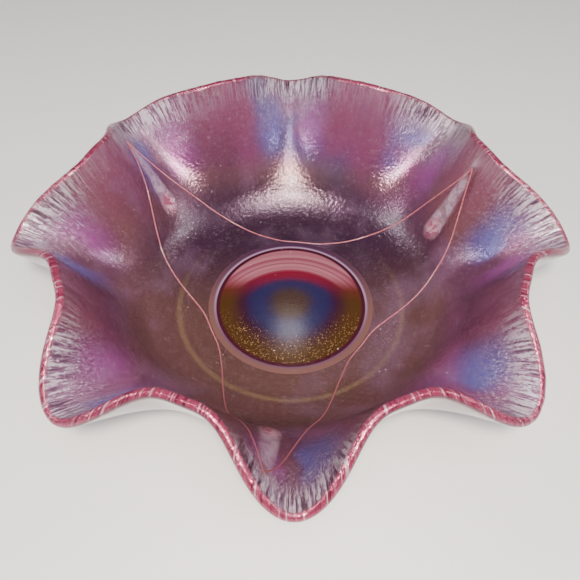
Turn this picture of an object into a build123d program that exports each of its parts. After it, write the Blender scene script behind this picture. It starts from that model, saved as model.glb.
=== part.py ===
import os
from math import asin, atan2, cos, degrees, hypot, pi, radians, sin

from build123d import *

os.makedirs("parts", exist_ok=True)

# A pressed glass bowl with an eight-crimp rim, a collar ring under its floor and three feet.
# Millimetres; the table is z = 0 and the bowl's axis is Z.

# Body: a flat floor, one bend and a straight flaring wall, measured on the outside.
floor_height = 5.0
floor_beyond_collar = 9.2  # how far the flat floor runs past the collar ring
bend_radius = 41.0
rim_radius = 119.7
rim_height = 73.8
floor_glass = 6.0
rim_glass = 4.2

# Crimps: the rim swings out and dips in each lobe, in and up between the lobes.
crimp_count = 8
crimp_turn = radians(-89)
crimp_swing = 13.7
crimp_pinch = 1.6
crimp_square = 0.75  # broadens the lobes and steepens the flanks between them
crimp_drop = 11.5
crimp_sag = 2.4
crimp_reach = 66.0  # how far down the wall the crimps run, from the rim
crimp_growth = 1.35

# Collar ring under the floor.
collar_radius = 40.6
collar_width = 5.0
collar_drop = 2.0
collar_round = 0.8
collar_shoulder = 2.4  # flat floor left outside the collar

# Feet: a ridge up the wall, an ankle and a splayed toe.
foot_directions = {"right_foot": radians(24), "left_foot": radians(144), "front_foot": radians(264)}
foot_above_bend = 10.4  # along the wall from the end of the bend to the foot's lower end
foot_below_rim = 9.6  # and from the top of its ridge to the rim
foot_bite = 2.4  # how deep the ridge is drawn into the wall before it is trimmed
root_stand = 8.5  # how far the ridge stands out from the wall at its lower end
root_width = 12.5
crown_width = 4.5
ankle_height = 9.0
ankle_depth = 10.0
ankle_width = 10.5
toe_splay = 2.0  # how far the toe stands out past the ankle
toe_height = 2.8
toe_depth = 14.5
toe_width = 15.0
sole_inset = 1.2
ridge_taper = 0.8  # how the ridge thins towards its crown
seat_clearance = 0.3  # between a foot and the wall it is fused to
seat_margin = 14.0  # how far the seat is drawn past the foot all round

# Drawing steps.
ring_points = 6 * crimp_count
wall_rings = 13
lip_rings = 3
seat_rows = 9
ridge_shares = (0, 0.3, 0.6, 0.85, 1)
nudge = 0.01

# The wall leaves the bend along the tangent that meets the rim.
floor_reach = collar_radius + floor_beyond_collar
run = rim_radius - floor_reach
rise = rim_height - floor_height - bend_radius
wall_slope = atan2(rise, run) + asin(bend_radius / hypot(run, rise))

with BuildLine(Plane.XZ) as side_line:
    Line((0, floor_height), (floor_reach, floor_height))
    bend = JernArc((floor_reach, floor_height), (1, 0), bend_radius, degrees(wall_slope))
    Line(bend @ 1, (rim_radius, rim_height))
side = side_line.wire()
foot_root_reach = floor_reach + bend.length + foot_above_bend
foot_crown_reach = side.length - foot_below_rim


def glass_at(reach):
    share = (reach - floor_reach) / (side.length - floor_reach)
    return floor_glass + (rim_glass - floor_glass) * max(0, share)


def outer_point(reach, turn):
    """Point on the outside, so far along the wall from the axis, in that direction."""
    mean = side.position_at(reach, position_mode=PositionMode.LENGTH)
    share = max(0, 1 - (side.length - reach) / crimp_reach) ** crimp_growth
    wave = crimp_count * (turn - crimp_turn)
    swing = crimp_swing * cos(wave) + crimp_pinch * cos(2 * wave) - crimp_square * cos(3 * wave)
    radius = mean.X + share * swing
    height = mean.Z - share * (crimp_drop * cos(wave) + crimp_sag * cos(2 * wave))
    return Vector(radius * cos(turn), radius * sin(turn), height)


def glass_point(reach, turn, depth, beyond=0):
    """Point inside the glass, that deep from the outside, or past the edge of the rim."""
    along = outer_point(reach, turn) - outer_point(reach - nudge, turn)
    around = outer_point(reach, turn + nudge) - outer_point(reach, turn - nudge)
    inward = along.cross(around).normalized()
    return outer_point(reach, turn) + inward * depth + along.normalized() * beyond


def glass_ring(reach, depth, beyond=0):
    turns = [2 * pi * step / ring_points for step in range(ring_points)]
    with BuildLine() as ring:
        Spline(*[glass_point(reach, turn, depth, beyond) for turn in turns], periodic=True)
    return ring.wire()


# The bowl is one loft of rings: up the outside, over the rounded lip and down the inside.
lip_radius = rim_glass / 2
lip_reach = side.length - lip_radius
first_reach = collar_radius + collar_shoulder
reaches = [first_reach + (lip_reach - first_reach) * step / wall_rings for step in range(wall_rings + 1)]
lip_angles = [pi * step / (lip_rings + 1) for step in range(1, lip_rings + 1)]
outside = [glass_ring(reach, 0) for reach in reaches]
lip = [
    glass_ring(lip_reach, lip_radius * (1 - cos(angle)), lip_radius * sin(angle))
    for angle in lip_angles
]
inside = [glass_ring(reach, glass_at(reach)) for reach in reversed(reaches)]

with BuildPart() as bowl:
    add(Solid.make_loft(outside + lip + inside))
bowl.part.label = "bowl"
export_step(bowl.part, "parts/bowl.step")

with BuildPart() as collar_ring:
    with BuildSketch(Plane.XY.offset(floor_height)):
        Circle(collar_radius)
        Circle(collar_radius - collar_width, mode=Mode.SUBTRACT)
    extrude(amount=-collar_drop)
    fillet(collar_ring.faces().sort_by(Axis.Z)[0].edges(), collar_round)
collar_ring.part.label = "collar_ring"
export_step(collar_ring.part, "parts/collar_ring.step")


def foot_section(turn, height, middle, depth, width):
    with BuildSketch(Plane.XY.offset(height)) as section:
        with Locations((middle * cos(turn), middle * sin(turn))):
            Ellipse(depth / 2, width / 2, rotation=degrees(turn))
    return section.sketch


def wall_seat(turn):
    """The wall's outside around a foot, a clearance lower, drawn inward into a solid."""
    low = foot_root_reach - seat_margin
    high = foot_crown_reach + seat_margin / 2
    swing = (root_width / 2 + seat_margin) / rim_radius
    grid = []
    for row in range(seat_rows):
        reach = low + (high - low) * row / (seat_rows - 1)
        turns = [turn + swing * (2 * column / (seat_rows - 1) - 1) for column in range(seat_rows)]
        grid.append([glass_point(reach, side_turn, -seat_clearance) for side_turn in turns])
    seat = Face.make_surface_from_array_of_points(grid)
    middle = (low + high) / 2
    inward = glass_point(middle, turn, 1) - glass_point(middle, turn, 0)
    return Solid.extrude(seat, inward * seat_margin)


def make_foot(turn):
    root = outer_point(foot_root_reach, turn)
    root_middle = root.X / cos(turn) + (root_stand - foot_bite) / 2
    toe_middle = root_middle + toe_splay
    sole = (toe_depth - 2 * sole_inset, toe_width - 2 * sole_inset)
    sections = [
        foot_section(turn, 0, toe_middle, *sole),
        foot_section(turn, toe_height, toe_middle, toe_depth, toe_width),
        foot_section(turn, ankle_height, root_middle, ankle_depth, ankle_width),
    ]
    for share in ridge_shares:
        point = outer_point(foot_root_reach + (foot_crown_reach - foot_root_reach) * share, turn)
        stand = root_stand * (1 - share) ** ridge_taper
        width = crown_width + (root_width - crown_width) * (1 - share) ** ridge_taper
        middle = point.X / cos(turn) + (stand - foot_bite) / 2
        sections.append(foot_section(turn, point.Z, middle, stand + foot_bite, width))
    with BuildPart() as foot:
        loft(sections)
        add(wall_seat(turn), mode=Mode.SUBTRACT)
    return foot.part


for name, turn in foot_directions.items():
    foot = make_foot(turn)
    foot.label = name
    export_step(foot, f"parts/{name}.step")
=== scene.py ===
import math
import random

import bpy
from mathutils import Matrix, Vector


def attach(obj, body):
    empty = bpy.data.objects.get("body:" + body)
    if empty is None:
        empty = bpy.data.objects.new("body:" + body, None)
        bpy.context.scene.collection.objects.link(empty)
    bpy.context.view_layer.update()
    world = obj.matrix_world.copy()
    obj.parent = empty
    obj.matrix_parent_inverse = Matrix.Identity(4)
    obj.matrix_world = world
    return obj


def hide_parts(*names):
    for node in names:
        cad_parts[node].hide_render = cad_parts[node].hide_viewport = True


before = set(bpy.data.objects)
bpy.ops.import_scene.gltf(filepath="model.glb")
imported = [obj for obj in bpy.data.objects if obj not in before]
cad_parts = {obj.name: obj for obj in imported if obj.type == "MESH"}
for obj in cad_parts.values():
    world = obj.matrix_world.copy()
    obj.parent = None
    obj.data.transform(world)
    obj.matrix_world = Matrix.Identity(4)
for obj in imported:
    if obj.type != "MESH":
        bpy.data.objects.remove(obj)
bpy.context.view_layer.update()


# small helpers for node trees

def feed(tree, socket, value):
    if isinstance(value, bpy.types.NodeSocket):
        tree.links.new(value, socket)
    else:
        socket.default_value = value


def calc(tree, operation, *values):
    node = tree.nodes.new("ShaderNodeMath")
    node.operation = operation
    for socket, value in zip(node.inputs, values):
        feed(tree, socket, value)
    return node.outputs[0]


def times(tree, a, b):
    return calc(tree, "MULTIPLY", a, b)


def vectorCalc(tree, operation, *values):
    node = tree.nodes.new("ShaderNodeVectorMath")
    node.operation = operation
    for socket, value in zip(node.inputs, values):
        feed(tree, socket, value)
    return node.outputs["Vector"]


def scaled(tree, vector, factor):
    node = tree.nodes.new("ShaderNodeVectorMath")
    node.operation = "SCALE"
    feed(tree, node.inputs[0], vector)
    feed(tree, node.inputs["Scale"], factor)
    return node.outputs["Vector"]


def joined(tree, x, y, z):
    node = tree.nodes.new("ShaderNodeCombineXYZ")
    for socket, value in zip(node.inputs, (x, y, z)):
        feed(tree, socket, value)
    return node.outputs[0]


# the wall rule: where a point lies, so far up the glass and in that direction

bowlSide = {
    "floorHeight": 0.005,
    "floorReach": 0.0498,
    "bendRadius": 0.041,
    "rimRadius": 0.1197,
    "rimHeight": 0.0738,
}


def sideLine(floorHeight, floorReach, bendRadius, rimRadius, rimHeight):
    # flat floor, one bend, then the straight flare along the tangent that meets the rim
    run, rise = rimRadius - floorReach, rimHeight - floorHeight - bendRadius
    span = math.hypot(run, rise)
    slope = math.atan2(rise, run) + math.asin(bendRadius / span)
    return slope, floorReach + bendRadius * slope + math.sqrt(span ** 2 - bendRadius ** 2)


wallSlope, wallLength = sideLine(**bowlSide)
wallShape = {
    "floorHeight": bowlSide["floorHeight"],
    "floorReach": bowlSide["floorReach"],
    "bendRadius": bowlSide["bendRadius"],
    "wallSlope": wallSlope,
    "wallLength": wallLength,
    "crimpCount": 8.0,
    "crimpTurn": math.radians(-89),
    "crimpSwing": 0.0137,
    "crimpPinch": 0.0016,
    "crimpSquare": 0.00075,
    "crimpDrop": 0.0115,
    "crimpSag": 0.0024,
    "crimpReach": 0.066,
    "crimpGrowth": 1.35,
}


def addSocket(tree, name, kind, way="INPUT"):
    return tree.interface.new_socket(name=name, in_out=way, socket_type=kind)


def wallPointGroup():
    tree = bpy.data.node_groups.new("pointOnTheWall", "GeometryNodeTree")
    for name in ("reach", "turn", *wallShape):
        addSocket(tree, name, "NodeSocketFloat")
    addSocket(tree, "point", "NodeSocketVector", "OUTPUT")
    addSocket(tree, "lobe", "NodeSocketFloat", "OUTPUT")
    addSocket(tree, "flank", "NodeSocketFloat", "OUTPUT")
    given = tree.nodes.new("NodeGroupInput").outputs
    reach, turn = given["reach"], given["turn"]
    pastFloor = calc(tree, "MAXIMUM", calc(tree, "SUBTRACT", reach, given["floorReach"]), 0.0)
    angle = calc(tree, "MINIMUM", calc(tree, "DIVIDE", pastFloor, given["bendRadius"]), given["wallSlope"])
    bendLength = times(tree, given["bendRadius"], given["wallSlope"])
    flare = calc(tree, "MAXIMUM", calc(tree, "SUBTRACT", pastFloor, bendLength), 0.0)
    radius = calc(tree, "MINIMUM", reach, given["floorReach"])
    radius = calc(tree, "MULTIPLY_ADD", given["bendRadius"], calc(tree, "SINE", angle), radius)
    radius = calc(tree, "MULTIPLY_ADD", flare, calc(tree, "COSINE", given["wallSlope"]), radius)
    rise = calc(tree, "SUBTRACT", 1.0, calc(tree, "COSINE", angle))
    height = calc(tree, "MULTIPLY_ADD", given["bendRadius"], rise, given["floorHeight"])
    height = calc(tree, "MULTIPLY_ADD", flare, calc(tree, "SINE", given["wallSlope"]), height)
    below = calc(tree, "SUBTRACT", given["wallLength"], reach)
    share = calc(tree, "SUBTRACT", 1.0, calc(tree, "DIVIDE", below, given["crimpReach"]))
    share = calc(tree, "POWER", calc(tree, "MAXIMUM", share, 0.0), given["crimpGrowth"])
    wave = times(tree, calc(tree, "SUBTRACT", turn, given["crimpTurn"]), given["crimpCount"])
    lobe = calc(tree, "COSINE", wave)
    twice = calc(tree, "COSINE", times(tree, wave, 2.0))
    thrice = calc(tree, "COSINE", times(tree, wave, 3.0))
    swing = times(tree, given["crimpSwing"], lobe)
    swing = calc(tree, "MULTIPLY_ADD", given["crimpPinch"], twice, swing)
    swing = calc(tree, "SUBTRACT", swing, times(tree, given["crimpSquare"], thrice))
    drop = times(tree, given["crimpDrop"], lobe)
    drop = calc(tree, "MULTIPLY_ADD", given["crimpSag"], twice, drop)
    radius = calc(tree, "MULTIPLY_ADD", share, swing, radius)
    height = calc(tree, "SUBTRACT", height, times(tree, share, drop))
    x = times(tree, radius, calc(tree, "COSINE", turn))
    y = times(tree, radius, calc(tree, "SINE", turn))
    out = tree.nodes.new("NodeGroupOutput").inputs
    tree.links.new(joined(tree, x, y, height), out["point"])
    tree.links.new(lobe, out["lobe"])
    tree.links.new(calc(tree, "SINE", wave), out["flank"])
    return tree


pointOnTheWall = wallPointGroup()


def layOnTheWall(tree, given, geometry):
    # moves each point: reach up the wall, turn round it, depth into the glass, beyond the edge
    def wallPoint(reach, turn):
        node = tree.nodes.new("GeometryNodeGroup")
        node.node_tree = pointOnTheWall
        tree.links.new(reach, node.inputs["reach"])
        tree.links.new(turn, node.inputs["turn"])
        for name in wallShape:
            tree.links.new(given[name], node.inputs[name])
        return node.outputs["point"], node

    reach, turn = pointValue(tree, "reach"), pointValue(tree, "turn")
    reachStep = 0.00002
    turnStep = 0.002  # radians
    enlarge = 1e5  # the steps are too short to normalize as they are
    here, crimp = wallPoint(reach, turn)
    lower, _ = wallPoint(calc(tree, "SUBTRACT", reach, reachStep), turn)
    left, _ = wallPoint(reach, calc(tree, "SUBTRACT", turn, turnStep))
    right, _ = wallPoint(reach, calc(tree, "ADD", turn, turnStep))
    along = scaled(tree, vectorCalc(tree, "SUBTRACT", here, lower), enlarge)
    along = vectorCalc(tree, "NORMALIZE", along)
    around = scaled(tree, vectorCalc(tree, "SUBTRACT", right, left), enlarge)
    inward = vectorCalc(tree, "NORMALIZE", vectorCalc(tree, "CROSS_PRODUCT", along, around))
    place = vectorCalc(tree, "ADD", here, scaled(tree, inward, pointValue(tree, "depth")))
    place = vectorCalc(tree, "ADD", place, scaled(tree, along, pointValue(tree, "beyond")))
    move = tree.nodes.new("GeometryNodeSetPosition")
    tree.links.new(geometry, move.inputs["Geometry"])
    tree.links.new(place, move.inputs["Position"])
    return move.outputs["Geometry"], crimp.outputs["lobe"], crimp.outputs["flank"]


def shapedTree(name, extra):
    tree = bpy.data.node_groups.new(name, "GeometryNodeTree")
    addSocket(tree, "Geometry", "NodeSocketGeometry")
    for label in wallShape:
        addSocket(tree, label, "NodeSocketFloat")
    for label, kind in extra.items():
        addSocket(tree, label, kind)
    addSocket(tree, "Geometry", "NodeSocketGeometry", "OUTPUT")
    return tree, tree.nodes.new("NodeGroupInput").outputs


def pointValue(tree, label):
    node = tree.nodes.new("GeometryNodeInputNamedAttribute")
    node.data_type = "FLOAT"
    node.inputs["Name"].default_value = label
    return node.outputs["Attribute"]


def kept(tree, geometry, label, value):
    node = tree.nodes.new("GeometryNodeStoreNamedAttribute")
    node.data_type = "FLOAT"
    node.domain = "POINT"
    node.inputs["Name"].default_value = label
    tree.links.new(geometry, node.inputs["Geometry"])
    tree.links.new(value, node.inputs["Value"])
    return node.outputs["Geometry"]


def painted(tree, geometry, material, where):
    node = tree.nodes.new("GeometryNodeSetMaterial")
    tree.links.new(geometry, node.inputs["Geometry"])
    tree.links.new(material, node.inputs["Material"])
    feed(tree, node.inputs["Selection"], where)
    return node.outputs["Geometry"]


def pointMesh(name, rows, turns, links, faces):
    # a mesh whose points know where on the wall they belong
    mesh = bpy.data.meshes.new(name)
    mesh.from_pydata([(0, 0, 0)] * len(rows), links, faces)
    for label, values in (("reach", [r[0] for r in rows]), ("depth", [r[1] for r in rows]),
                          ("beyond", [r[2] for r in rows]), ("turn", turns)):
        mesh.attributes.new(label, "FLOAT", "POINT").data.foreach_set("value", values)
    return mesh


def makeFromTree(name, mesh, tree, values):
    blank = bpy.data.objects.new(name + "Blank", mesh)
    bpy.context.collection.objects.link(blank)
    modifier = blank.modifiers.new(tree.name, "NODES")
    modifier.node_group = tree
    for item in tree.interface.items_tree:
        if item.in_out == "INPUT" and item.name in values:
            modifier[item.identifier] = values[item.name]
    plain = bpy.data.meshes.new_from_object(blank.evaluated_get(bpy.context.evaluated_depsgraph_get()))
    plain.name = name
    bpy.data.objects.remove(blank)
    piece = bpy.data.objects.new(name, plain)
    bpy.context.collection.objects.link(piece)
    for polygon in plain.polygons:
        polygon.use_smooth = True
    return piece


# shader helpers

def colorMix(tree, factor, a, b):
    node = tree.nodes.new("ShaderNodeMix")
    node.data_type = "RGBA"
    node.clamp_factor = True
    feed(tree, node.inputs["Factor"], factor)
    for socket, value in ((node.inputs[6], a), (node.inputs[7], b)):
        feed(tree, socket, value if isinstance(value, bpy.types.NodeSocket) else (*value, 1.0))
    return node.outputs[2]


def noise(tree, vector, scale, detail=2.0, roughness=0.5):
    node = tree.nodes.new("ShaderNodeTexNoise")
    feed(tree, node.inputs["Vector"], vector)
    feed(tree, node.inputs["Scale"], scale)
    node.inputs["Detail"].default_value = detail
    node.inputs["Roughness"].default_value = roughness
    return node.outputs[0]


def between(tree, value, low, high):
    node = tree.nodes.new("ShaderNodeMapRange")
    node.interpolation_type = "SMOOTHSTEP"
    feed(tree, node.inputs["Value"], value)
    for name, given in (("From Min", low), ("From Max", high)):
        feed(tree, node.inputs[name], given)
    return node.outputs[0]


def layer(tree, color, top, mask, strength=1.0):
    # lays one colour over another where the mask says
    if strength != 1.0:
        mask = times(tree, mask, strength)
    return colorMix(tree, mask, color, top)


def lengthOf(tree, vector):
    node = tree.nodes.new("ShaderNodeVectorMath")
    node.operation = "LENGTH"
    tree.links.new(vector, node.inputs[0])
    return node.outputs["Value"]


def wallCoordinates(tree):
    # where a point is, its distance from the axis and its direction, from Object coordinates
    place = tree.nodes.new("ShaderNodeTexCoord").outputs["Object"]
    split = tree.nodes.new("ShaderNodeSeparateXYZ")
    tree.links.new(place, split.inputs[0])
    flat = joined(tree, split.outputs[0], split.outputs[1], 0.0)
    return {"place": place, "x": split.outputs[0], "y": split.outputs[1], "height": split.outputs[2],
            "radius": lengthOf(tree, flat), "around": vectorCalc(tree, "NORMALIZE", flat)}


def shaderGroup(name, ins, outs):
    tree = bpy.data.node_groups.new(name, "ShaderNodeTree")
    for label, value in ins.items():
        kind = "NodeSocketColor" if isinstance(value, tuple) else "NodeSocketFloat"
        addSocket(tree, label, kind).default_value = (*value, 1.0) if isinstance(value, tuple) else value
    for label, kind in outs.items():
        addSocket(tree, label, kind, "OUTPUT")
    return tree, tree.nodes.new("NodeGroupInput").outputs, tree.nodes.new("NodeGroupOutput").inputs


def placed(tree, group, **values):
    node = tree.nodes.new("ShaderNodeGroup")
    node.node_tree = group
    for label, value in values.items():
        if isinstance(value, tuple):
            value = (*value, 1.0)
        feed(tree, node.inputs[label], value)
    return node.outputs


def glassSkinGroup():
    # pressed glass: faint chill waves, tiny seeds and a fine sparkling grain
    tree, given, out = shaderGroup(
        "pressedSkin",
        {"waveSize": 60.0, "waveDepth": 0.5, "grainSize": 2200.0, "grainDepth": 0.12, "seeds": 0.5},
        {"height": "NodeSocketFloat", "seedMask": "NodeSocketFloat", "grain": "NodeSocketFloat"})
    place = wallCoordinates(tree)["place"]
    wave = noise(tree, place, given["waveSize"], 3.0)
    grain = noise(tree, place, given["grainSize"], 2.0, 0.7)
    cells = tree.nodes.new("ShaderNodeTexVoronoi")
    tree.links.new(place, cells.inputs["Vector"])
    cells.inputs["Scale"].default_value = 210.0
    dot = calc(tree, "SUBTRACT", 1.0, between(tree, cells.outputs["Distance"], 0.03, 0.09))
    pick = noise(tree, place, 95.0, 0.0)
    dot = times(tree, dot, between(tree, pick, 0.56, 0.62))
    tree.links.new(times(tree, dot, given["seeds"]), out["seedMask"])
    height = times(tree, wave, given["waveDepth"])
    height = calc(tree, "MULTIPLY_ADD", grain, given["grainDepth"], height)
    tree.links.new(calc(tree, "MULTIPLY_ADD", dot, given["seeds"], height), out["height"])
    tree.links.new(grain, out["grain"])
    return tree


def lustreGroup():
    # the sprayed film: bands of colour that drift with its thickness
    tree, given, out = shaderGroup(
        "lustreFilm",
        {"bandSize": 14.0, "mauve": (0.3, 0.12, 0.25), "bronze": (0.3, 0.17, 0.08),
         "blue": (0.12, 0.16, 0.5), "magenta": (0.5, 0.08, 0.34)},
        {"color": "NodeSocketColor"})
    film = noise(tree, wallCoordinates(tree)["place"], given["bandSize"], 2.0, 0.45)
    color = layer(tree, given["bronze"], given["mauve"], between(tree, film, 0.34, 0.5))
    color = layer(tree, color, given["magenta"], between(tree, film, 0.52, 0.62))
    color = layer(tree, color, given["blue"], between(tree, film, 0.62, 0.74))
    tree.links.new(color, out["color"])
    return tree


def stretchGroup():
    # the onion skin: radial crackle that the hot pull opened near the edge, most in the lobes
    tree, given, out = shaderGroup(
        "stretchMarks", {"edge": 0.0, "lobe": 0.0}, {"bright": "NodeSocketFloat", "dark": "NodeSocketFloat"})
    edge, lobe = given["edge"], given["lobe"]
    at = wallCoordinates(tree)
    rise = calc(tree, "ADD", at["radius"], at["height"])

    def crackle(spokes, rings, detail, roughness):
        place = vectorCalc(tree, "ADD", scaled(tree, at["around"], spokes),
                           joined(tree, 0.0, 0.0, times(tree, rise, rings)))
        return noise(tree, place, 1.0, detail, roughness)

    coarse = crackle(120.0, 55.0, 2.0, 0.6)
    fine = crackle(260.0, 420.0, 3.0, 0.7)
    pulled = calc(tree, "MULTIPLY_ADD", between(tree, lobe, -0.75, 0.3), 0.85, 0.15)
    outer = times(tree, between(tree, edge, 0.88, 0.965), pulled)
    inner = times(tree, between(tree, edge, 0.74, 0.93), pulled)
    bright = times(tree, between(tree, coarse, 0.47, 0.58), outer)
    bright = calc(tree, "MAXIMUM", bright, times(tree, between(tree, fine, 0.52, 0.68), inner))
    dark = times(tree, between(tree, coarse, 0.47, 0.36), outer)
    dark = calc(tree, "MAXIMUM", dark, times(tree, between(tree, fine, 0.46, 0.32), inner))
    tree.links.new(bright, out["bright"])
    tree.links.new(dark, out["dark"])
    return tree


def lipGroup():
    # the fire-polished lip: crimson pink with pale knobs painted as glints and dark ticks
    tree, given, out = shaderGroup(
        "polishedLip", {"pink": (0.5, 0.1, 0.2), "pale": (0.9, 0.5, 0.6), "dark": (0.2, 0.0, 0.0)},
        {"color": "NodeSocketColor"})
    knobs = noise(tree, scaled(tree, wallCoordinates(tree)["around"], 105.0), 1.0, 2.0, 0.6)
    # painted glints: pale flecks on the knobs
    color = layer(tree, given["pink"], given["pale"], between(tree, knobs, 0.55, 0.66))
    color = layer(tree, color, given["dark"], between(tree, knobs, 0.45, 0.36))
    tree.links.new(color, out["color"])
    return tree


pressedSkin = glassSkinGroup()
lustreFilm = lustreGroup()
stretchMarks = stretchGroup()
polishedLip = lipGroup()


def newGlass(name, values):
    material = bpy.data.materials.new(name)
    material.use_nodes = True
    tree = material.node_tree
    shader = tree.nodes["Principled BSDF"]
    for label, value in values.items():
        shader.inputs[label].default_value = value
    return material, tree, shader


def finishGlass(tree, shader, color, rough, height, strength, distance):
    bump = tree.nodes.new("ShaderNodeBump")
    bump.inputs["Strength"].default_value = strength
    bump.inputs["Distance"].default_value = distance
    tree.links.new(height, bump.inputs["Height"])
    tree.links.new(bump.outputs[0], shader.inputs["Normal"])
    tree.links.new(color, shader.inputs["Base Color"])
    tree.links.new(rough, shader.inputs["Roughness"])


def attributeValue(tree, name):
    node = tree.nodes.new("ShaderNodeAttribute")
    node.attribute_name = name
    return node.outputs["Fac"]


# the bowl: one wall of glass, up the outside, over the lip and down the inside

bowlValues = {
    "floorGlass": 0.006,
    "rimGlass": 0.0042,
    "columns": 720,
    "rows": 58,
    "lipRows": 7,
    "ridgeDepth": 0.00016,  # stretch ridges pulled into the inside near the edge
    "beadDepth": 0.00035,  # knobbly lip
    "firstReach": 0.0004,  # the small hole at the axis that the two caps close
    "ridgeStart": 0.86,  # share of the wall where the stretch ridges begin
    "ridgeGrowth": 1.5,
    "seed": 7,
    "outsideDepth": 0.0012,  # the glass nearer the outside than this is bare
    "discReach": 0.0432,  # how far the disc's glass runs from the axis
    "mauve": (0.150, 0.046, 0.104),
    "plum": (0.062, 0.022, 0.058),
    "bronze": (0.170, 0.078, 0.072),
    "gold": (0.300, 0.190, 0.110),
    "rose": (0.250, 0.052, 0.108),
    "lavender": (0.350, 0.200, 0.360),
    "blue": (0.115, 0.110, 0.400),
    "magenta": (0.320, 0.060, 0.270),
    "sheen": (0.520, 0.380, 0.470),
    "lipPink": (0.460, 0.060, 0.150),
    # painted glint colour for the lip's knobs
    "lipGlint": (0.850, 0.480, 0.600),
    "lipDark": (0.170, 0.015, 0.050),
    "filmBronze": (0.185, 0.080, 0.085),
    "filmBlue": (0.11, 0.08, 0.26),
    "filmMagenta": (0.26, 0.062, 0.18),
    "stretchPale": (0.92, 0.84, 0.94),
    "stretchDark": (0.03, 0.015, 0.03),
    "seedColor": (1.0, 0.95, 0.98),
    "clear": 0.55,
    "skin": {"waveSize": 45.0, "waveDepth": 0.35, "grainSize": 560.0, "grainDepth": 1.3, "seeds": 0.7},
    "metal": 0.30,
}


# what shows of each foot on the inside of the wall; climb runs from its root, 0, to its crown, 1
footMarkValues = {
    "turns": (24, 144, 264),  # degrees
    "reaches": (0.0990, 0.1424),  # of the root and the crown, up the wall
    "widths": (0.0125, 0.0045),  # at the root and at the crown
    "rootRadius": 0.092,  # the wall's distance from the axis there
    "radiusGrowth": 0.02,  # how much more it is at the crown
    "climbs": (-0.08, 1.1),  # where the ridge ends, past the root and the crown
    "fade": 6.0,
    "knob": {"halfWidth": 0.0062, "middle": 0.04, "halfHeight": 0.17, "strength": 1.6},
    "eye": {"halfWidth": 0.0024, "middle": 0.90, "halfHeight": 0.11, "strength": 2.0},
    # the ridge's pale is a painted reflection and the knob's pale a painted glint
    "ridgeReflection": (0.86, 0.66, 0.84),
    "knobRosy": (0.62, 0.10, 0.24),
    "knobGlint": (0.98, 0.52, 0.68),
    "eyeColor": (0.26, 0.012, 0.05),
}


def lipColor(tree):
    return placed(tree, polishedLip, pink=bowlValues["lipPink"], pale=bowlValues["lipGlint"],
                  dark=bowlValues["lipDark"])["color"]


def wellAndFlare(tree, at):
    # the well is bronze in front and a darker plum behind, a painted front-to-back shading; the flare has the
    # film's mauve
    film = placed(tree, lustreFilm, bandSize=15.0, mauve=bowlValues["mauve"], bronze=bowlValues["filmBronze"],
                  blue=bowlValues["filmBlue"], magenta=bowlValues["filmMagenta"])
    ripple = noise(tree, joined(tree, times(tree, at["radius"], 95.0), 0.0, 0.0), 1.0, 1.0)
    well = layer(tree, bowlValues["bronze"], bowlValues["gold"], between(tree, ripple, 0.56, 0.66))
    # painted shading: the back of the well is darker plum, the front bronze
    well = layer(tree, well, bowlValues["plum"], between(tree, at["y"], -0.015, 0.045))
    flare = layer(tree, film["color"], bowlValues["plum"], between(tree, at["height"], 0.030, 0.018), 0.6)
    # painted reflection colour: gold tint on the back wall where the highlight of the lamp by the camera
    # lands
    highlightGold = times(tree, between(tree, at["y"], 0.055, 0.085), between(tree, at["height"], 0.046, 0.026))
    flare = layer(tree, flare, bowlValues["gold"], highlightGold, 0.6)
    return layer(tree, well, flare, between(tree, at["radius"], 0.074, 0.090))


def crimpBands(tree, color, at, edge, lobe):
    # rose between the lobes, blue on one flank and magenta on the other, lavender at the rim
    crest = times(tree, between(tree, lobe, 0.3, -0.8), between(tree, edge, 0.62, 0.9))
    color = layer(tree, color, bowlValues["rose"], crest, 0.7)
    drift = calc(tree, "MULTIPLY_ADD", noise(tree, at["place"], 24.0, 2.0), 2.4, -1.2)
    flank = calc(tree, "ADD", attributeValue(tree, "flank"), drift)
    band = times(tree, between(tree, edge, 0.66, 0.8), between(tree, edge, 0.97, 0.86))
    band = times(tree, band, between(tree, lobe, -0.5, 0.5))
    color = layer(tree, color, bowlValues["blue"], times(tree, band, between(tree, flank, 0.15, 0.8)))
    color = layer(tree, color, bowlValues["magenta"], times(tree, band, between(tree, flank, -0.15, -0.8)))
    rimward = times(tree, between(tree, edge, 0.8, 0.97), between(tree, lobe, -0.4, 0.7))
    return layer(tree, color, bowlValues["lavender"], rimward, 0.35)


def feetBehindTheWall(tree, color, at):
    # what shows of the feet through the lustre: a pale ridge painted as the foot's reflection, a rosy knob
    # with painted pale glints, a dark eye
    ridge, knob, eye = (attributeValue(tree, label) for label in ("ridge", "knob", "eye"))
    # painted reflection: the pale ridge, broken up by noise
    ridgeShine = between(tree, noise(tree, at["place"], 190.0, 2.0), 0.30, 0.62)
    ridgeShine = calc(tree, "MULTIPLY_ADD", ridgeShine, 0.5, 0.3)
    color = layer(tree, color, footMarkValues["ridgeReflection"], times(tree, ridge, ridgeShine))
    # painted glints: pale blotches on the rosy knob
    glintBlotch = between(tree, noise(tree, at["place"], 330.0, 1.0), 0.42, 0.6)
    rosy = layer(tree, footMarkValues["knobRosy"], footMarkValues["knobGlint"], glintBlotch)
    color = layer(tree, color, rosy, knob, 0.85)
    return layer(tree, color, footMarkValues["eyeColor"], eye, 0.85)


def sprayedGrain(tree, color, at):
    # lavender clouds and the film's fine dark and light grain
    cloud = noise(tree, at["place"], 28.0, 3.0, 0.55)
    color = layer(tree, color, bowlValues["lavender"], between(tree, cloud, 0.5, 0.72), 0.35)
    speck = noise(tree, at["place"], 620.0, 3.0, 0.75)
    color = layer(tree, color, bowlValues["plum"], between(tree, speck, 0.47, 0.30), 0.45)
    return layer(tree, color, bowlValues["sheen"], between(tree, speck, 0.56, 0.74), 0.55)


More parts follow.
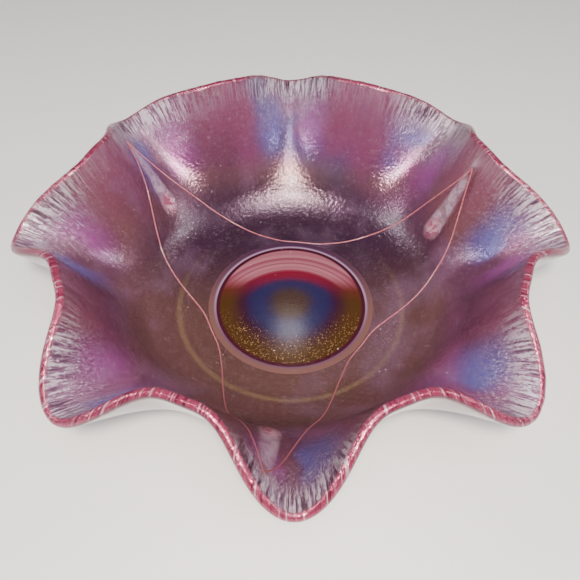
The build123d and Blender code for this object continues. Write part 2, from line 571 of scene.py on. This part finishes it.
def lustreGlass():
    material, tree, shader = newGlass("roseLustreGlass", {
        "IOR": 1.5, "Transmission Weight": bowlValues["clear"], "Metallic": bowlValues["metal"],
        "Coat Weight": 0.18, "Coat Roughness": 0.24, "Coat IOR": 1.6, "Thin Film Thickness": 420.0,
        "Thin Film IOR": 1.45})
    at = wallCoordinates(tree)
    edge, lobe = attributeValue(tree, "edge"), attributeValue(tree, "lobe")
    skin = placed(tree, pressedSkin, **bowlValues["skin"])
    marks = placed(tree, stretchMarks, edge=edge, lobe=lobe)
    color = crimpBands(tree, wellAndFlare(tree, at), at, edge, lobe)
    color = sprayedGrain(tree, feetBehindTheWall(tree, color, at), at)
    color = layer(tree, color, bowlValues["stretchPale"], marks["bright"], 0.75)
    color = layer(tree, color, bowlValues["stretchDark"], marks["dark"], 0.85)
    color = layer(tree, color, lipColor(tree), between(tree, edge, 0.984, 0.996))
    color = layer(tree, color, bowlValues["seedColor"], skin["seedMask"])
    polish = calc(tree, "MULTIPLY_ADD", between(tree, edge, 0.985, 1.0), -0.6, 1.0)
    rough = times(tree, calc(tree, "MULTIPLY_ADD", skin["grain"], 0.16, 0.14), polish)
    height = calc(tree, "MULTIPLY_ADD", marks["bright"], 0.5, skin["height"])
    height = calc(tree, "MULTIPLY_ADD", marks["dark"], -0.5, height)
    finishGlass(tree, shader, color, rough, height, 0.7, 0.0004)
    return material


discValues = {
    "center": (0.042, 0.019, 0.014),
    "blue": (0.016, 0.012, 0.062),
    "wine": (0.032, 0.004, 0.020),
    "olive": (0.060, 0.024, 0.006),
    # the crimson and the two crescent colours are a painted reflection
    "reflectedCrimson": (0.170, 0.006, 0.024),
    "reflectedCrescent": (0.370, 0.135, 0.175),
    "reflectedCrescentDeep": (0.230, 0.055, 0.092),
    "line": (0.050, 0.005, 0.016),
    # painted highlight colour for the disc's edge
    "edgeHighlight": (0.360, 0.230, 0.380),
    "fleck": (0.42, 0.26, 0.12),
    "skin": {"waveSize": 45.0, "waveDepth": 0.25, "grainSize": 1500.0, "grainDepth": 0.05, "seeds": 0.9},
    "crescentForward": 0.0125,  # how far the crescent's inner circle lies in front of the axis
}


def discRings(tree, at):
    wobble = calc(tree, "MULTIPLY_ADD", noise(tree, at["place"], 45.0, 2.0), 0.006, -0.003)
    spread = calc(tree, "ADD", at["radius"], wobble)
    color = layer(tree, discValues["center"], discValues["blue"], between(tree, spread, 0.006, 0.015))
    color = layer(tree, color, discValues["wine"], between(tree, spread, 0.018, 0.027))
    return layer(tree, color, discValues["olive"], between(tree, spread, 0.023, 0.034))


def discCrescentReflection(tree, color, at):
    # a painted reflection: it lies between the disc's rim and a circle that is nearer the front
    forward = calc(tree, "ADD", at["y"], discValues["crescentForward"])
    away = lengthOf(tree, joined(tree, at["x"], forward, 0.0))
    behind = between(tree, at["y"], 0.0, 0.024)
    color = layer(tree, color, discValues["reflectedCrimson"], times(tree, between(tree, away, 0.026, 0.032), behind))
    streak = noise(tree, joined(tree, times(tree, away, 420.0), 0.0, 0.0), 1.0, 2.0)
    pale = layer(tree, discValues["reflectedCrescent"], discValues["reflectedCrescentDeep"], between(tree, streak, 0.4, 0.62))
    outer = times(tree, between(tree, away, 0.0345, 0.0375), between(tree, at["y"], 0.008, 0.021))
    return layer(tree, color, pale, outer)


def discGlass():
    # the thick disc over the collar: brown centre, blue and wine rings, gold flecks, a crimson crescent
    # painted as a reflection, a pale edge ring painted as a highlight
    material, tree, shader = newGlass("discGlass", {
        "IOR": 1.5, "Transmission Weight": 0.2, "Metallic": 0.15, "Coat Weight": 0.25,
        "Coat Roughness": 0.12})
    at = wallCoordinates(tree)
    skin = placed(tree, pressedSkin, **discValues["skin"])
    color = discCrescentReflection(tree, discRings(tree, at), at)
    fleck = between(tree, noise(tree, at["place"], 1500.0, 1.0, 0.6), 0.64, 0.72)
    front = times(tree, between(tree, at["y"], 0.0, -0.02), between(tree, at["radius"], 0.018, 0.03))
    color = layer(tree, color, discValues["fleck"], times(tree, fleck, front))
    color = layer(tree, color, discValues["line"], between(tree, at["radius"], 0.0378, 0.0386))
    # painted highlight: a pale ring on the disc's edge, strongest behind
    rim = calc(tree, "MULTIPLY_ADD", between(tree, at["y"], -0.03, 0.02), 0.75, 0.25)
    rim = times(tree, between(tree, at["radius"], 0.0398, 0.0405), rim)
    color = layer(tree, color, discValues["edgeHighlight"], rim)
    # the well's painted shading again: bronze in front, darker plum behind
    well = layer(tree, bowlValues["bronze"], bowlValues["plum"], between(tree, at["y"], -0.015, 0.045))
    color = layer(tree, color, well, between(tree, at["radius"], 0.0406, 0.0418))
    color = layer(tree, color, bowlValues["seedColor"], skin["seedMask"])
    rough = calc(tree, "MULTIPLY_ADD", skin["grain"], 0.08, 0.10)
    finishGlass(tree, shader, color, rough, skin["height"], 0.5, 0.0004)
    return material


bareValues = {
    "deep": (0.42, 0.16, 0.24),
    "thin": (0.60, 0.30, 0.48),
    "rim": (0.72, 0.55, 0.78),
    "stretchPale": (0.95, 0.90, 0.97),
    "stretchDark": (0.22, 0.08, 0.14),
    "seedColor": (1.0, 0.93, 0.96),
    "skin": {"waveSize": 38.0, "waveDepth": 0.6, "grainSize": 900.0, "grainDepth": 0.04, "seeds": 0.4},
}


def bareGlass():
    # the outside has no lustre
    material, tree, shader = newGlass("roseBareGlass", {
        "IOR": 1.5, "Transmission Weight": 0.85, "Metallic": 0.0, "Coat Weight": 0.3, "Coat Roughness": 0.05})
    edge, lobe = attributeValue(tree, "edge"), attributeValue(tree, "lobe")
    skin = placed(tree, pressedSkin, **bareValues["skin"])
    marks = placed(tree, stretchMarks, edge=edge, lobe=lobe)
    color = layer(tree, bareValues["deep"], bareValues["thin"], between(tree, edge, 0.35, 0.8))
    color = layer(tree, color, bareValues["rim"], between(tree, edge, 0.8, 0.95), 0.5)
    color = layer(tree, color, bareValues["stretchPale"], marks["bright"], 0.4)
    color = layer(tree, color, bareValues["stretchDark"], marks["dark"], 0.5)
    color = layer(tree, color, lipColor(tree), between(tree, edge, 0.975, 0.99))
    color = layer(tree, color, bareValues["seedColor"], skin["seedMask"])
    rough = calc(tree, "MULTIPLY_ADD", skin["grain"], 0.06, 0.03)
    finishGlass(tree, shader, color, rough, skin["height"], 0.4, 0.0004)
    return material


lustre = lustreGlass()
disc = discGlass()
bare = bareGlass()


def bowlTree():
    tree, given = shapedTree("crimpedWall", {"discReach": "NodeSocketFloat", "outside": "NodeSocketMaterial",
                                             "inside": "NodeSocketMaterial", "disc": "NodeSocketMaterial"})
    shell, lobe, flank = layOnTheWall(tree, given, given["Geometry"])
    reach, depth, beyond = (pointValue(tree, label) for label in ("reach", "depth", "beyond"))
    share = calc(tree, "DIVIDE", calc(tree, "ADD", reach, beyond), given["wallLength"])
    shell = kept(tree, kept(tree, kept(tree, shell, "edge", share), "lobe", lobe), "flank", flank)
    realize = tree.nodes.new("GeometryNodeRealizeInstances")
    tree.links.new(shell, realize.inputs[0])
    shell = painted(tree, realize.outputs[0], given["inside"], True)
    shell = painted(tree, shell, given["disc"], calc(tree, "LESS_THAN", reach, given["discReach"]))
    shell = painted(tree, shell, given["outside"], calc(tree, "LESS_THAN", depth, bowlValues["outsideDepth"]))
    tree.links.new(shell, tree.nodes.new("NodeGroupOutput").inputs[0])
    return tree


def spot(across, climb, halfWidth, middle, halfHeight, strength):
    # strongest in an oval's middle, none at its edge
    return strength * (1 - math.hypot(across / halfWidth, (climb - middle) / halfHeight))


def footMarks(reach, turn):
    # where a foot is fused behind the wall: the ridge for its painted pale reflection, the knob at its root
    # for rosy colour and painted glints, the dark eye at its top
    root, crown = footMarkValues["reaches"]
    wide, narrow = footMarkValues["widths"]
    lowest, highest = footMarkValues["climbs"]
    fade = footMarkValues["fade"]
    climb = (reach - root) / (crown - root)
    ridge = knob = eye = 0.0
    for direction in footMarkValues["turns"]:
        aside = (turn - math.radians(direction) + math.pi) % (2 * math.pi) - math.pi
        across = aside * (footMarkValues["rootRadius"] + footMarkValues["radiusGrowth"] * climb)
        half = (wide + (narrow - wide) * min(max(climb, 0.0), 1.0)) / 2
        side = max(0.0, 1 - (across / half) ** 2)
        ends = max(0.0, min(1.0, (climb - lowest) * fade, (highest - climb) * fade))
        ridge = max(ridge, math.sqrt(side) * ends)
        knob = max(knob, spot(across, climb, **footMarkValues["knob"]))
        eye = max(eye, spot(across, climb, **footMarkValues["eye"]))
    return ridge, min(1.0, knob), min(1.0, eye)


def glassAt(reach):
    share = max(0.0, (reach - wallShape["floorReach"]) / (wallShape["wallLength"] - wallShape["floorReach"]))
    return bowlValues["floorGlass"] + (bowlValues["rimGlass"] - bowlValues["floorGlass"]) * share


def blankRows(top, lip):
    # up the outside, over the lip and down the inside: reach, depth, beyond, ridge depth and bead depth
    first, start, steps = bowlValues["firstReach"], bowlValues["ridgeStart"], bowlValues["rows"]
    wallReaches = [first + (top - first) * step / steps for step in range(steps + 1)]
    rows = [(reach, 0.0, 0.0, 0.0, 0.0) for reach in wallReaches]
    for step in range(1, bowlValues["lipRows"]):
        angle = math.pi * step / bowlValues["lipRows"]
        bead = bowlValues["beadDepth"] * math.sin(angle)
        rows.append((top, lip * (1 - math.cos(angle)), lip * math.sin(angle), 0.0, bead))
    for reach in reversed(wallReaches):
        share = max(0.0, (reach / top - start) / (1 - start))
        pulled = share ** bowlValues["ridgeGrowth"] * bowlValues["ridgeDepth"]
        rows.append((reach, glassAt(reach), 0.0, pulled, 0.0))
    return rows


def bowlBlank():
    lip = bowlValues["rimGlass"] / 2
    columns, chance = bowlValues["columns"], random.Random(bowlValues["seed"])
    raw = [chance.random() for _ in range(columns)]
    ridge = [(raw[i - 1] + 2 * raw[i] + raw[(i + 1) % columns]) / 4 for i in range(columns)]
    rows = blankRows(wallShape["wallLength"] - lip, lip)
    points, turns, faces = [], [], []
    for reach, depth, beyond, pulled, bead in rows:
        for column in range(columns):
            points.append((reach, depth - pulled * ridge[column] * 2, beyond - bead * ridge[column]))
            turns.append(2 * math.pi * column / columns)
    for level in range(len(rows) - 1):
        for column in range(columns):
            a, b = level * columns + column, level * columns + (column + 1) % columns
            faces.append((a, b, b + columns, a + columns))
    faces.append(tuple(reversed(range(columns))))
    last = (len(rows) - 1) * columns
    faces.append(tuple(last + column for column in range(columns)))
    mesh = pointMesh("bowlBlank", points, turns, [], faces)
    marks = [footMarks(point[0], turn) for point, turn in zip(points, turns)]
    for place, label in enumerate(("ridge", "knob", "eye")):
        values = [max(0.0, mark[place]) for mark in marks]
        mesh.attributes.new(label, "FLOAT", "POINT").data.foreach_set("value", values)
    return mesh


bowl = makeFromTree("bowlWall", bowlBlank(), bowlTree(), {
    **wallShape, "discReach": bowlValues["discReach"], "outside": bare, "inside": lustre, "disc": disc})
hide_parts("bowl")
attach(bowl, "root")
print("bowl pulled and crimped,", len(bowl.data.polygons), "faces")


# the mould seams: raised threads on the inside of the wall, from foot to foot

seamValues = {
    "directions": {"backSeam": 84, "leftSeam": 204, "rightSeam": 324},
    "span": math.radians(60),
    "lowest": 0.0451,  # reach up the wall at the middle of each seam
    "highest": 0.1395,  # and at its ends
    "curve": 2.9,
    "thick": 0.00038,
    "sunk": 0.0001,  # how far the thread's middle lies under the inside
    "points": 160,
    "deep": (0.34, 0.07, 0.10),
    "pale": (0.66, 0.27, 0.30),
    # painted shade colour for the seams' front halves
    "front": (0.24, 0.07, 0.085),
    "skin": {"waveSize": 300.0, "waveDepth": 0.6, "grainSize": 1800.0, "grainDepth": 0.1, "seeds": 0.2},
}


def seamGlass():
    material, tree, shader = newGlass("seamGlass", {
        "IOR": 1.5, "Transmission Weight": 0.15, "Metallic": 0.0})
    skin = placed(tree, pressedSkin, **seamValues["skin"])
    color = layer(tree, seamValues["deep"], seamValues["pale"], between(tree, skin["grain"], 0.4, 0.7))
    # painted shade: the seams' front halves are darker
    color = layer(tree, color, seamValues["front"], between(tree, wallCoordinates(tree)["y"], -0.015, -0.045))
    rough = calc(tree, "MULTIPLY_ADD", skin["grain"], 0.2, 0.08)
    finishGlass(tree, shader, color, rough, skin["height"], 0.5, 0.0003)
    return material


def seamTree():
    tree, given = shapedTree("threadOnTheWall", {"thick": "NodeSocketFloat", "glass": "NodeSocketMaterial"})
    path, _, _ = layOnTheWall(tree, given, given["Geometry"])
    curve = tree.nodes.new("GeometryNodeMeshToCurve")
    tree.links.new(path, curve.inputs[0])
    circle = tree.nodes.new("GeometryNodeCurvePrimitiveCircle")
    circle.inputs["Resolution"].default_value = 12
    tree.links.new(given["thick"], circle.inputs["Radius"])
    tube = tree.nodes.new("GeometryNodeCurveToMesh")
    tree.links.new(curve.outputs[0], tube.inputs["Curve"])
    tree.links.new(circle.outputs[0], tube.inputs["Profile Curve"])
    tube.inputs["Fill Caps"].default_value = True
    realize = tree.nodes.new("GeometryNodeRealizeInstances")
    tree.links.new(tube.outputs[0], realize.inputs[0])
    thread = painted(tree, realize.outputs[0], given["glass"], True)
    tree.links.new(thread, tree.nodes.new("NodeGroupOutput").inputs[0])
    return tree


threadTree = seamTree()
threadGlass = seamGlass()
for name, direction in seamValues["directions"].items():
    rows, turns = [], []
    for step in range(seamValues["points"]):
        share = 2 * step / (seamValues["points"] - 1) - 1
        climb = seamValues["highest"] - seamValues["lowest"]
        reach = seamValues["lowest"] + climb * abs(share) ** seamValues["curve"]
        rows.append((reach, glassAt(reach) - seamValues["sunk"], 0.0))
        turns.append(math.radians(direction) + share * seamValues["span"])
    path = pointMesh(name, rows, turns, [(i, i + 1) for i in range(len(rows) - 1)], [])
    seam = makeFromTree(name, path, threadTree, {
        **wallShape, "thick": seamValues["thick"], "glass": threadGlass})
    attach(seam, "root")
print("seams laid")


# feet and collar keep their modelled shape and get their own glass

footValues = {
    "pale": (1.0, 0.88, 0.98),
    "rosy": (1.0, 0.45, 0.62),
    "eye": (0.45, 0.03, 0.12),
    "skin": {"waveSize": 120.0, "waveDepth": 0.8, "grainSize": 1500.0, "grainDepth": 0.1, "seeds": 0.5},
}
collarValues = {
    "deep": (0.50, 0.07, 0.14),
    "pale": (0.86, 0.50, 0.62),
    "skin": {"waveSize": 90.0, "waveDepth": 0.6, "grainSize": 1200.0, "grainDepth": 0.08, "seeds": 0.5},
}


def footGlass():
    # rosy knob at the root, pale leg, dark eye at the crown
    material, tree, shader = newGlass("footGlass", {
        "IOR": 1.5, "Transmission Weight": 0.6, "Metallic": 0.0, "Coat Weight": 0.4})
    height = wallCoordinates(tree)["height"]
    skin = placed(tree, pressedSkin, **footValues["skin"])
    color = layer(tree, footValues["rosy"], footValues["pale"], between(tree, height, 0.022, 0.040))
    color = layer(tree, color, footValues["eye"], between(tree, height, 0.054, 0.062))
    color = layer(tree, color, bowlValues["seedColor"], skin["seedMask"])
    rough = calc(tree, "MULTIPLY_ADD", skin["grain"], 0.12, 0.06)
    finishGlass(tree, shader, color, rough, skin["height"], 0.6, 0.0008)
    return material


def collarGlass():
    material, tree, shader = newGlass("collarGlass", {
        "IOR": 1.5, "Transmission Weight": 0.6, "Metallic": 0.0})
    radius = wallCoordinates(tree)["radius"]
    skin = placed(tree, pressedSkin, **collarValues["skin"])
    color = layer(tree, collarValues["deep"], collarValues["pale"], between(tree, radius, 0.0365, 0.0400))
    color = layer(tree, color, bowlValues["seedColor"], skin["seedMask"])
    rough = calc(tree, "MULTIPLY_ADD", skin["grain"], 0.15, 0.1)
    finishGlass(tree, shader, color, rough, skin["height"], 0.5, 0.0006)
    return material


feetGlass = footGlass()
ringGlass = collarGlass()
for node, glass in (("front_foot", feetGlass), ("left_foot", feetGlass), ("right_foot", feetGlass),
                    ("collar_ring", ringGlass)):
    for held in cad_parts[node].material_slots:
        held.material = glass
print("feet and collar glazed")


# floor, light and camera

studioValues = {
    "floorColor": (0.74, 0.73, 0.72),
    "floorPale": (0.78, 0.775, 0.77),
    "floorHalf": 3.0,
    "cameraPlace": (0.0, -0.2093, 0.2849),
    "cameraTilt": math.radians(50.17),
    "cameraRoll": 0.0142,
    "lens": 39.59,
    "shift": (-0.0021, -0.0244),
    "lightAim": (0.0, 0.0, 0.04),
    "skyColor": (0.95, 0.96, 1.0),
    "skyStrength": 0.13,
}

# place, size across, power and colour of each round softbox
softboxes = {
    "topSoftbox": ((0.1, -0.55, 1.15), 0.8, 15.0, (1.0, 1.0, 1.0)),
    "frontSoftbox": ((0.0, -0.27, 0.43), 0.05, 4.2, (1.0, 0.90, 0.74)),
    "backSoftbox": ((0.0, 0.56, 0.84), 0.05, 0.09, (1.0, 0.93, 0.84)),
    "leftSoftbox": ((-0.8, -0.1, 0.55), 0.25, 3.4, (0.93, 0.95, 1.0)),
    "rightSoftbox": ((0.8, 0.0, 0.55), 0.25, 2.8, (0.97, 0.94, 1.0)),
}


def makeFloor():
    mesh = bpy.data.meshes.new("studioFloor")
    size = studioValues["floorHalf"]
    corners = [(-size, -size, 0), (size, -size, 0), (size, size, 0), (-size, size, 0)]
    mesh.from_pydata(corners, [], [(0, 1, 2, 3)])
    floor = bpy.data.objects.new("studioFloor", mesh)
    bpy.context.collection.objects.link(floor)
    material = bpy.data.materials.new("palePaper")
    material.use_nodes = True
    tree = material.node_tree
    shader = tree.nodes["Principled BSDF"]
    place = tree.nodes.new("ShaderNodeTexCoord").outputs["Object"]
    color = layer(tree, studioValues["floorColor"], studioValues["floorPale"], noise(tree, place, 3.0, 3.0))
    tree.links.new(color, shader.inputs["Base Color"])
    shader.inputs["Roughness"].default_value = 0.8
    mesh.materials.append(material)


def softLight(name, place, size, power, color):
    lamp = bpy.data.lights.new(name, "AREA")
    lamp.shape = "DISK"
    lamp.size = size
    lamp.energy = power
    lamp.color = color
    light = bpy.data.objects.new(name, lamp)
    bpy.context.collection.objects.link(light)
    light.location = place
    toBowl = Vector(studioValues["lightAim"]) - Vector(place)
    light.rotation_euler = toBowl.to_track_quat("-Z", "Y").to_euler()


makeFloor()
for name, (place, size, power, color) in softboxes.items():
    softLight(name, place, size, power, color)

world = bpy.data.worlds.new("studioAir")
world.use_nodes = True
sky = world.node_tree.nodes["Background"]
sky.inputs["Color"].default_value = (*studioValues["skyColor"], 1.0)
sky.inputs["Strength"].default_value = studioValues["skyStrength"]
bpy.context.scene.world = world

cameraData = bpy.data.cameras.new("studioCamera")
camera = bpy.data.objects.new("studioCamera", cameraData)
bpy.context.collection.objects.link(camera)
cameraData.lens = studioValues["lens"]
cameraData.sensor_width = 36.0
cameraData.shift_x, cameraData.shift_y = studioValues["shift"]
cameraData.clip_start = 0.01
tilt, roll = studioValues["cameraTilt"], studioValues["cameraRoll"]
ahead = Vector((0, math.cos(tilt), -math.sin(tilt)))
upward = Vector((0, math.sin(tilt), math.cos(tilt)))
level = Vector((1, 0, 0))
right = level * math.cos(roll) + upward * math.sin(roll)
upward = -level * math.sin(roll) + upward * math.cos(roll)
turned = Matrix((right, upward, -ahead)).transposed().to_4x4()
camera.matrix_world = Matrix.Translation(studioValues["cameraPlace"]) @ turned
bpy.context.scene.camera = camera
print("studio ready")
